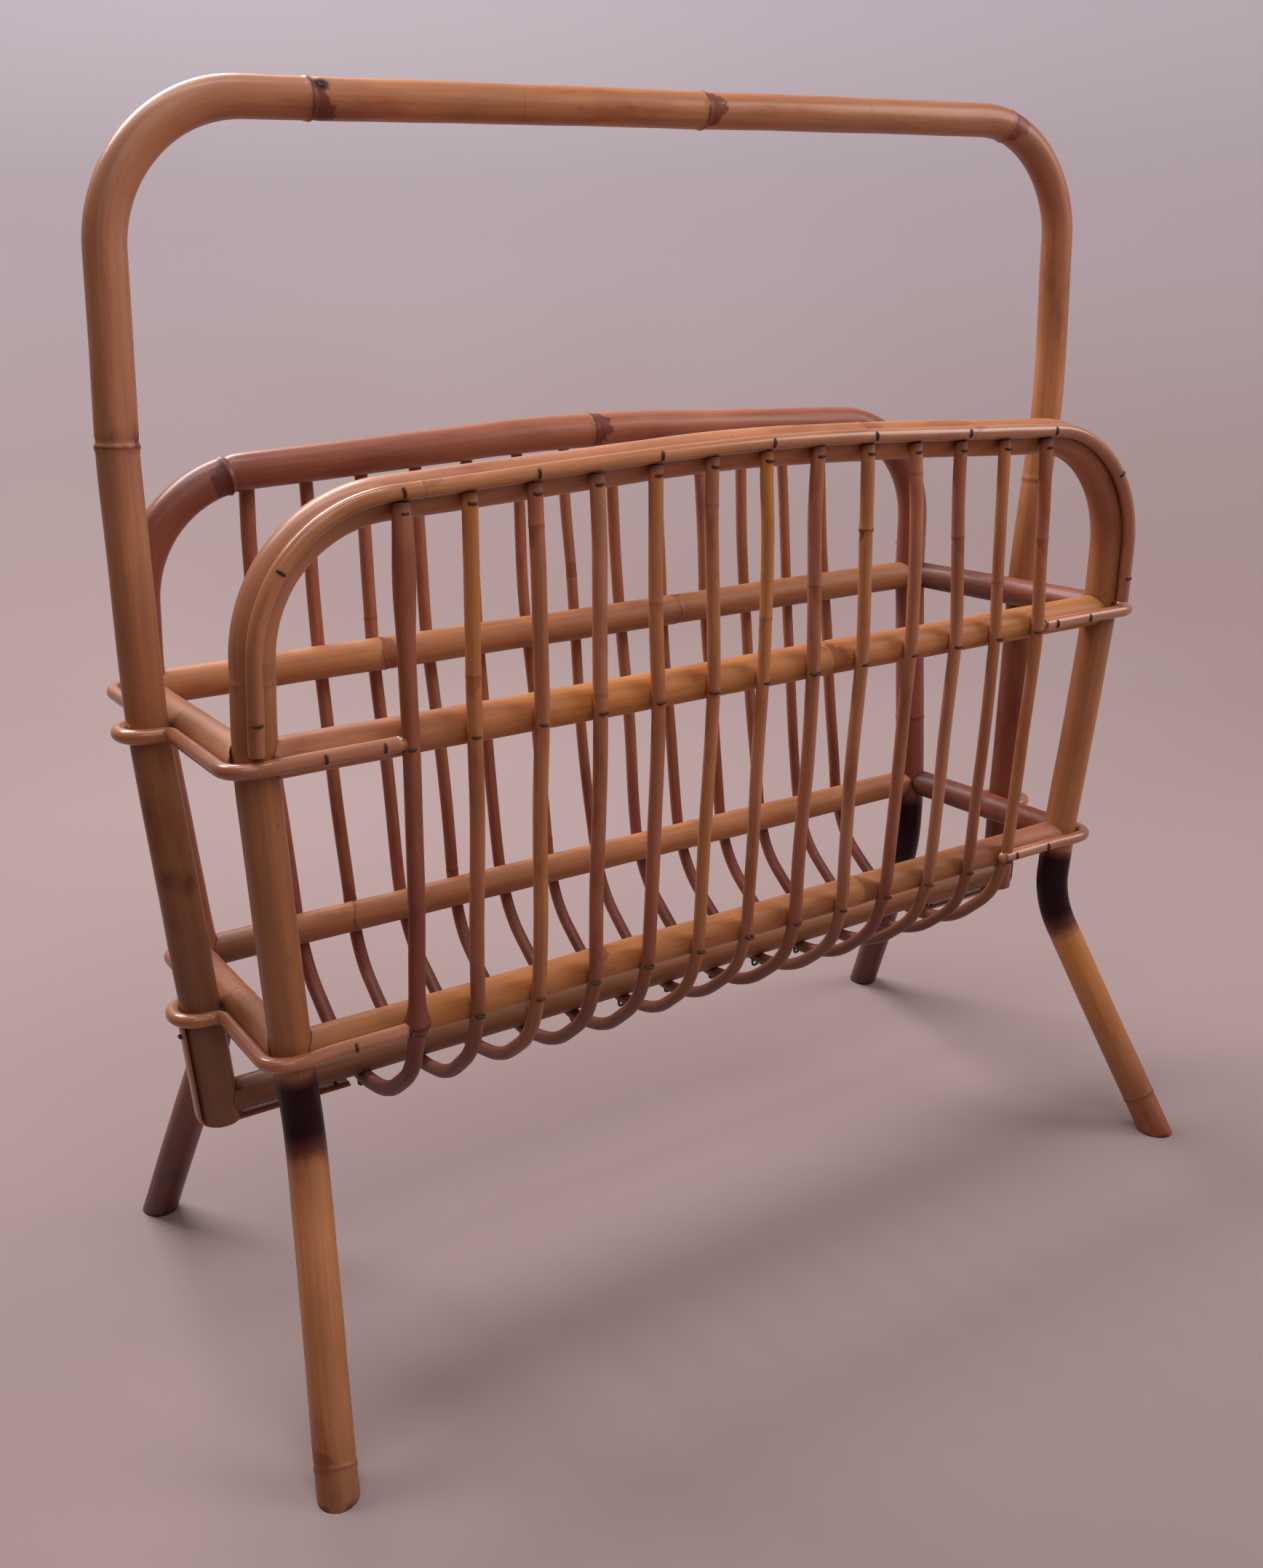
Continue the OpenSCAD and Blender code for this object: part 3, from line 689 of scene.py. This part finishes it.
hoop = {
    "endZ": 110, "endSpare": 3, "leftLean": (-247.5, 0, 400), "rightLean": (262.5, 0, 400),
    "leftTop": (-239, 0, 529), "rightTop": (262.5, 0, 536.5), "poleBend": 500, "cornerBend": 58,
    "topThinner": 0.07,
    "tone": [(0, "bark"), (0.05, "bark"), (0.13, "amber"), (0.2, "tan"), (0.3, "tan"), (0.45, "honey"),
             (0.62, "tan"), (0.7, "rose"), (0.76, "honey"), (0.86, "amber"), (0.9, "russet"),
             (1, "russet")],
    "joints": [{"point": (-249, 0, 402.5), "ridge": 0.5, "mark": 1.0, "scar": 3.6,
                "spots": [(2.4, 5, 5, 0.22), (1.2, 4.5, 4, 0.16)]},
               {"point": (-244, 0, 225), "ridge": 0.0, "mark": 0.0,
                "spots": [(1.0, 4, 6, 0.24), (1.9, 1, 6.5, 0.26), (0.7, -16, 5, 0.16)]},
               {"point": (-160, 0, 530), "ridge": 0.5, "mark": 1.2, "scar": 2.3,
                "spots": [(0.95, 4, 2.6, 1.0)]},
               {"point": (27.5, 0, 532), "ridge": 0.5, "mark": 1.3, "scar": 1.5},
               {"point": (220, 0, 530), "ridge": 0.4, "mark": 0.8, "scar": 1.3,
                "spots": [(2.6, 0, 5, 0.2), (1.6, 1, 4, 0.14)]},
               {"point": (263, 0, 350), "ridge": 0.3, "mark": 0.4, "scar": 1.0}],
}


def hoopWidth(t):
    # the cane is thinner along the top than down the poles
    return 1 - hoop["topThinner"] * math.sin(math.pi * t) ** 2


def buildHoop(material):
    low = hoop["endZ"] - hoop["endSpare"]
    left = [poleAt(-1, low), poleAt(-1, rack["midZ"]), Vector(hoop["leftLean"]), Vector(hoop["leftTop"])]
    right = [Vector(hoop["rightTop"]), Vector(hoop["rightLean"]), poleAt(1, rack["midZ"]), poleAt(1, low)]
    gentle, tight = hoop["poleBend"], hoop["cornerBend"]
    path = roundedPath(left + right, [gentle, gentle, tight, tight, gentle, gentle])
    bm = bmesh.new()
    look = {"radius": rack["hoopR"], "sides": 28, "spacing": 3.5, "seed": 1, "tone": hoop["tone"],
            "joints": jointsNear(path, hoop["joints"]), "bow": 0.8, "widen": hoopWidth}
    sweepCane(bm, path, look)
    cutLevel(bm, hoop["endZ"])
    finishCane("handleHoop", bm, material, "hoop_cane", "handle_hoop")
    print("hoop built")


# Rails

def distanceTo(point, a, b):
    along = (b - a).normalized()
    return ((point - a) - along * (point - a).dot(along)).length


def straightPath(a, b, count=60):
    return [a.lerp(b, k / count) for k in range(count + 1)]


def postLine(side, face, post):
    # two points on the straight part of a post just below a level, and its radius
    below = lowPost if post is midPost else kink
    return below(side, face), post(side, face), rack["caneR"]


def copeTo(bm, axis, posts, gap=0.3, step=0.25):
    # slides each end of a rail back until it touches the round posts
    ends = [min(v.co[axis] for v in bm.verts), max(v.co[axis] for v in bm.verts)]
    centre = sum(ends) / 2
    half = (ends[1] - ends[0]) / 2
    for vert in bm.verts:
        share = (vert.co[axis] - centre) / half
        near = 0 if share < 0 else 1
        a, b, radius = posts[near]
        probe = vert.co.copy()
        probe[axis] = ends[near]
        while distanceTo(probe, a, b) < radius + gap:
            probe[axis] -= math.copysign(step, share)
        vert.co[axis] = centre + (probe[axis] - centre) * abs(share)


railTones = {
    "front_mid_rail": [(0, "tan"), (0.3, "gold"), (0.7, "honey"), (1, "gold")],
    "back_mid_rail": [(0, "honey"), (0.3, "honey"), (0.5, "amber"), (1, "amber")],
    "front_low_rail": [(0, "amber"), (0.15, "gold"), (0.6, "honey"), (0.85, "amber"), (1, "rose")],
    # painted shade: the back low rail is darkened with bark and amber tones for the shade inside the rack,
    # on top of the cane's own variation
    "back_low_rail": [(0, "bark"), (0.1, "amber"), (0.3, "amber"), (0.6, "honey"), (1, "amber")],
}


# each rail has a joint somewhere in either part, given as shares of this length
railJoints = {"span": 450, "parts": (((0.15, 0.4), 0.8), ((0.6, 0.85), 0.6))}


def buildRails(material):
    rows = (("mid", midPost, rack["midRailR"]), ("low", lowPost, rack["lowRailR"]))
    for place, (level, post, radius) in enumerate(rows):
        for face, word in ((-1, "front"), (1, "back")):
            node = word + "_" + level + "_rail"
            left, right = post(-1, face), post(1, face)
            number = place * 2 + (face > 0)
            draw = random.Random(40 + number)
            joints = [{"at": draw.uniform(*part) * railJoints["span"], "ridge": 0.25, "mark": mark,
                       "scar": draw.uniform(0, 6)} for part, mark in railJoints["parts"]]
            bm = bmesh.new()
            look = {"radius": radius, "sides": 24, "spacing": 5, "seed": 10 + number,
                    "tone": railTones[node], "joints": joints, "bow": 0.3, "rub": 0.1}
            sweepCane(bm, straightPath(left, right), look)
            copeTo(bm, 0, [postLine(side, face, post) for side in (-1, 1)])
            finishCane(word + level.capitalize() + "Rail", bm, material, "rail_cane", node)


endRailTones = {
    "left": [(0, "tan"), (0.5, "amber"), (1, "rose")],
    "right": [(0, "russet"), (0.4, "russet"), (1, "umber")],
}


def buildEndRails(material):
    rows = (("upper", midPost, upperEndX), ("lower", lowPost, lowerEndX))
    for place, (level, post, x) in enumerate(rows):
        for side, word in ((-1, "left"), (1, "right")):
            y, z = post(side, 1).yz
            path = [Vector((side * x, -y + 2 * y * k / 30, z)) for k in range(31)]
            bm = bmesh.new()
            look = {"radius": rack["endRailR"], "sides": 24, "spacing": 4, "seed": 20 + place * 2 + side,
                    "tone": endRailTones[word], "bow": 0.0, "rub": 0.1,
                    "joints": [{"at": y * 0.9, "ridge": 0.2, "mark": 0.5, "scar": 1.0}]}
            sweepCane(bm, path, look)
            copeTo(bm, 1, [postLine(side, face, post) for face in (-1, 1)])
            finishCane(word + level.capitalize() + "EndRail", bm, material, "end_cane",
                       word + "_" + level + "_end_rail")


def buildBottomRail(material):
    z = rack["bottomZ"]
    left, right = poleAt(-1, z), poleAt(1, z)
    bm = bmesh.new()
    # painted shade: the bottom rail is given mostly dark bark tones, for the shade it lies in under the low
    # rails
    look = {"radius": rack["bottomRailR"], "sides": 24, "spacing": 5, "seed": 30, "bow": 0.3, "rub": 0.1,
            "tone": [(0, "bark"), (0.2, "bark"), (0.8, "amber"), (1, "bark")],
            "joints": [{"at": 150, "ridge": 0.25, "mark": 0.6, "scar": 2.0}]}
    sweepCane(bm, straightPath(left, right), look)
    copeTo(bm, 0, [(poleAt(-1, 0), left, rack["hoopR"]), (poleAt(1, 0), right, rack["hoopR"])])
    finishCane("bottomRail", bm, material, "rail_cane", "bottom_rail")
    print("rails built")


# Slats: each runs down the front, under the bottom rail and up the back

slats = {
    "pitch": 28.7, "topPitch": 28.2, "middle": 7, "topBelow": 0.55, "lean": 1.2,
    # bend radius at the middle rail, the low rail, twice on the way down and under the bottom rail
    "bends": [300, 45, 45, 60, 60],
    "joints": (((0.02, 0.16), 0.4), ((0.6, 0.9), 0.5)),
    "tones": ["rose", "gold", "rose", "tan", "honey", "tan", "gold", "tan", "honey", "tan", "rose",
              "honey", "rose"],
}


def archHeight(x):
    return min(cornerZ + (crownZ - cornerZ) * (1 - abs(x - rack["archShift"]) / cornerX), rack["archZ"])


def slatTop(i, face):
    x = (i - slats["middle"]) * slats["topPitch"]
    y = face * (rack["topGap"] / 2 + rack["caneR"] + rack["slatR"])
    return Vector((x, y, archHeight(x) - slats["topBelow"]))


def slatPath(i):
    x = (i - slats["middle"]) * slats["pitch"]
    draw = random.Random(100 + i)
    z = rack["bottomZ"] - rack["bottomRailR"] - rack["slatR"]
    midY = rack["midGap"] / 2 + rack["midRailR"] + rack["slatR"]
    lowY = rack["lowGap"] / 2 + rack["lowRailR"] + rack["slatR"]
    halves = []
    for face in (-1, 1):
        lean = draw.uniform(-slats["lean"], slats["lean"])
        halves.append([
            slatTop(i, face),
            Vector((x + lean, face * midY, rack["midZ"])),
            Vector((x + lean * 0.3, face * lowY, rack["lowZ"])),
            Vector((x, face * lowY * 0.88, z + 0.56 * (rack["lowZ"] - z))),
            Vector((x, face * lowY * 0.46, z + 0.13 * (rack["lowZ"] - z)))])
    points = halves[0] + [Vector((x, 0, z))] + halves[1][::-1]
    return roundedPath(points, slats["bends"] + slats["bends"][-2::-1])


def buildSlats(material):
    for i, node in enumerate(slatNames, 1):
        draw = random.Random(200 + i)
        path = slatPath(i)
        route = Route(path)
        tone = slats["tones"][i - 1]
        other = draw.choice(["honey", "rose", "tan"])
        joints = [{"at": draw.uniform(*part) * route.length, "ridge": 0.12, "mark": mark,
                   "scar": draw.uniform(0, 6)} for part, mark in slats["joints"]]
        widen = None
        if i == 1:
            widen = firstSlatWidth
            other = "russet"
            joints = [{"at": route.nearest(Vector((-172, -72, 166))), "ridge": 0.3, "mark": 1.2,
                       "swell": 1.9, "spread": 6, "scar": 4.5}]
        if i == 9:
            joints[0] = {"at": route.nearest(Vector((57, -86, 350))), "ridge": 0.35, "mark": 1.0,
                         "scar": 4.0}
        bm = bmesh.new()
        # painted shade: the first few millimetres at the slat's front top are umber, for the shade where it
        # meets the bead
        look = {"radius": rack["slatR"] * draw.uniform(0.96, 1.08), "sides": 14, "spacing": 4,
                "seed": 50 + i,
                "tone": [(0, "umber"), (0.006, tone), (0.28, other), (0.5, "umber"), (0.62, "russet"),
                         (0.8, "rose"), (1, "rose")],
                "joints": joints, "bow": 1.6, "rub": 0.12, "widen": widen}
        sweepCane(bm, path, look)
        finishCane("slat" + node[-2:], bm, material, "slat_cane", node)
    print("slats built")


def firstSlatWidth(t):
    # the first slat is thick, and thickest a little below the arch
    return 1.16 + 0.3 * math.exp(-((t - 0.045) / 0.028) ** 2)


# Beads and bindings

bead = {"out": 3, "bend": 61, "endGap": 5}


def beadPath(face):
    # outside the arch by a little, and against its outer face
    out = bead["out"]
    y = face * math.sqrt((rack["caneR"] + rack["beadR"]) ** 2 - out ** 2)
    points = []
    for side in (-1, 1):
        share = bead["endGap"] / (cornerZ - rack["midZ"])
        end = midPost(side, face).lerp(archCorner(side, face), share) + Vector((side * out, y, 0))
        corner = archCorner(side, face) + Vector((side * out, y, out))
        points += [end, corner] if side < 0 else [corner, end]
    crown = Vector((rack["archShift"], face * rack["topGap"] / 2 + y, crownZ + out))
    return roundedPath(points[:2] + [crown] + points[2:], [bead["bend"], 1500, bead["bend"]])


def buildBeads(material):
    for face, word in ((-1, "front"), (1, "back")):
        path = beadPath(face)
        bm = bmesh.new()
        look = {"radius": rack["beadR"], "sides": 16, "spacing": 3.5, "seed": 70 + face, "bow": 0.25,
                "rub": 0.3,
                "tone": [(0, "rose"), (0.15, "honey"), (0.4, "honey"), (0.7, "tan"), (1, "rose")],
                "joints": jointsNear(path, [{"point": (-160, face * 86, 390), "ridge": 0.12, "mark": 0.5},
                                            {"point": (120, face * 86, 390), "ridge": 0.12, "mark": 0.5}])}
        sweepCane(bm, path, look)
        finishCane(word + "Bead", bm, material, "bead_cane", word + "_trim")


# reach is how far from the post each end lies along its rail, and staples are shares of that
binding = {"reach": 57, "lift": 12, "staples": (0.18, 0.6)}


def bindingHalf(side, face, post, railR, endX, poleX):
    # from the end on the rail, over the front of the post and round it, to the outside of the pole
    r, z = rack["bindingR"], post.z
    railY = face * (abs(post.y) + railR + r)
    postX = max(abs(post.x) + rack["caneR"], endX + rack["endRailR"]) + r
    postY = face * (abs(post.y) + rack["caneR"] + r)
    poleY = rack["hoopR"] + r
    return [Vector((side * (abs(post.x) - binding["reach"]), railY, z)),
            Vector((side * (abs(post.x) - rack["caneR"] - 2 * r), railY, z)),
            Vector((side * (abs(post.x) - rack["caneR"] / 2), postY, z)),
            Vector((side * postX, postY, z)),
            Vector((side * postX, face * poleY, z)),
            Vector((side * (poleX + poleY), face * poleY, z))]


def bindingPath(side, level):
    post, railR, endX, poleX = ((midPost, rack["midRailR"], upperEndX, midPoleX) if level == "upper"
                                else (lowPost, rack["lowRailR"], lowerEndX, lowPoleX))
    front = bindingHalf(side, -1, post(side, -1), railR, endX, poleX)
    back = bindingHalf(side, 1, post(side, 1), railR, endX, poleX)
    bends = [binding["lift"], binding["lift"], rack["caneR"] + rack["bindingR"] - 1, rack["bindingR"] + 1,
             rack["hoopR"] + rack["bindingR"] - 0.5]
    return roundedPath(front + back[::-1], bends + bends[::-1], 1.2)


def buildBindings(material):
    for place, level in enumerate(("upper", "lower")):
        for side, word in ((-1, "left"), (1, "right")):
            bm = bmesh.new()
            look = {"radius": rack["bindingR"], "sides": 16, "spacing": 2.2, "seed": 80 + place * 2 + side,
                    "tone": [(0, "tan"), (0.3, "rose"), (0.5, "honey"), (0.7, "rose"), (1, "tan")],
                    "bow": 0.25, "rub": 2.8}
            sweepCane(bm, bindingPath(side, level), look)
            finishCane(word + level.capitalize() + "Binding", bm, material, "bead_cane",
                       word + "_" + level + "_binding")
    print("bindings built")


strap = {"width": 8, "thick": 2, "reach": 60, "topZ": 159.9, "bend": 6, "stapleIn": 6}


def buildStraps(material):
    for side, word in ((-1, "left"), (1, "right")):
        half = strap["thick"] / 2
        endX = poleAt(1, hoop["endZ"]).x
        topX = poleAt(1, strap["topZ"]).x + rack["hoopR"] + half
        points = [Vector((side * topX, 0, strap["topZ"])),
                  Vector((side * (endX + rack["hoopR"] + half), 0, hoop["endZ"] - half)),
                  Vector((side * (endX - strap["reach"]), 0, hoop["endZ"] - half))]
        bm = bmesh.new()
        look = {"radius": half, "sides": 16, "spacing": 1.6, "seed": 90 + side, "rub": 0.2,
                "tone": [(0, "rose"), (1, "russet")]}
        sweepCane(bm, roundedPath(points, [strap["bend"]], 1.0), look)
        for vert in bm.verts:
            vert.co.y *= strap["width"] / strap["thick"]
        finishCane(word + "Strap", bm, material, "bead_cane", word + "_strap")


# Staples

# the last two say how far a slat's staples are below its top and below the middle of a rail
staple = {
    "width": 4.4, "wire": 0.65, "leg": 3.0, "bend": 0.9, "pitch": 57, "belowTop": 4, "belowRail": 2.5,
}


def addStaple(bm, at, across, out, number):
    draw = random.Random(300 + number)
    tilt = Matrix.Rotation(draw.uniform(-0.12, 0.12), 3, out)
    across = tilt @ across
    half = staple["width"] / 2 - staple["wire"]
    lift = out * (staple["wire"] * draw.uniform(0.35, 0.7))
    points = [at - across * half - out * staple["leg"], at - across * half + lift,
              at + across * half + lift, at + across * half - out * staple["leg"]]
    look = {"radius": staple["wire"], "sides": 8, "spacing": 1.2, "tone": [(0, "umber"), (1, "umber")],
            "rub": 0.1, "seed": number}
    sweepCane(bm, roundedPath(points, [staple["bend"], staple["bend"]], 0.5), look)


def buildStaples(material):
    wide, deep, up = Vector((1, 0, 0)), Vector((0, 1, 0)), Vector((0, 0, 1))
    levels = ((rack["midZ"] - staple["belowRail"], rack["midGap"] / 2 + rack["midRailR"]),
              (rack["lowZ"] - staple["belowRail"], rack["lowGap"] / 2 + rack["lowRailR"]))
    number = 0
    bm = bmesh.new()
    for i in range(1, len(slatNames) + 1):
        path = Route(slatPath(i))
        x = (i - slats["middle"]) * slats["pitch"]
        for face in (-1, 1):
            top = slatTop(i, face)
            spots = [Vector((top.x, top.y + face * rack["slatR"], top.z - staple["belowTop"]))]
            spots += [Vector((x, face * (y + 2 * rack["slatR"]), z)) for z, y in levels]
            for spot in spots:
                number += 1
                near = path.at(path.nearest(spot))
                addStaple(bm, Vector((near.x, spot.y, spot.z)), wide, deep * face, number)
        number += 1
        low = rack["bottomZ"] - rack["bottomRailR"] - 2 * rack["slatR"]
        addStaple(bm, Vector((x, 0, low)), wide, -up, number)
    finishCane("slatStaples", bm, material, "steel_wire", "slat_staples")

    bm = bmesh.new()
    for face in (-1, 1):
        route = Route(beadPath(face))
        count = int(route.length // staple["pitch"])
        margin = (route.length - count * staple["pitch"]) / 2
        for k in range(count + 1):
            number += 1
            s = margin + staple["pitch"] * k
            heading = route.heading(s)
            out = (deep * face - heading * heading.y * face).normalized()
            addStaple(bm, route.at(s) + out * rack["beadR"], out.cross(heading), out, number)
    finishCane("beadStaples", bm, material, "steel_wire", "trim_staples")

    bm = bmesh.new()
    for side in (-1, 1):
        for post, railR in ((lowPost, rack["lowRailR"]), (midPost, rack["midRailR"])):
            for face in (-1, 1):
                corner = post(side, face)
                y = corner.y + face * (railR + 2 * rack["bindingR"])
                for share in binding["staples"]:
                    number += 1
                    x = side * (abs(corner.x) - binding["reach"] * (1 - share))
                    addStaple(bm, Vector((x, y, corner.z)), up, deep * face, number)
    finishCane("bindingStaples", bm, material, "steel_wire", "binding_staples")

    bm = bmesh.new()
    for side in (-1, 1):
        endX = poleAt(1, hoop["endZ"]).x - strap["reach"] + strap["stapleIn"]
        topX = poleAt(1, strap["topZ"]).x + rack["hoopR"] + strap["thick"]
        number += 2
        addStaple(bm, Vector((side * endX, 0, hoop["endZ"] - strap["thick"])), deep, -up, number)
        addStaple(bm, Vector((side * topX, 0, strap["topZ"] - strap["stapleIn"])), deep,
                  Vector((side, 0, 0)), number + 1)
    finishCane("strapStaples", bm, material, "steel_wire", "strap_staples")
    print("staples built")


# The whole rack

addCamera()
addWorld()
for lampName, lampSettings in lamps.items():
    addLamp(lampName, lampSettings)
addStudio()
print("studio ready")

finishes = {name: caneMaterial(name, finish) for name, finish in caneFinishes.items()}
wire = wireMaterial()
buildHoop(finishes["thickCane"])
buildFrames(finishes["thickCane"])
buildRails(finishes["railCane"])
buildEndRails(finishes["railCane"])
buildBottomRail(finishes["railCane"])
buildSlats(finishes["slatCane"])
buildBeads(finishes["beadCane"])
buildBindings(finishes["beadCane"])
buildStraps(finishes["beadCane"])
buildStaples(wire)
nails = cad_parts["joint_nails"]
nails.data.materials.clear()
nails.data.materials.append(wire)

bpy.context.scene.view_settings.view_transform = "Standard"
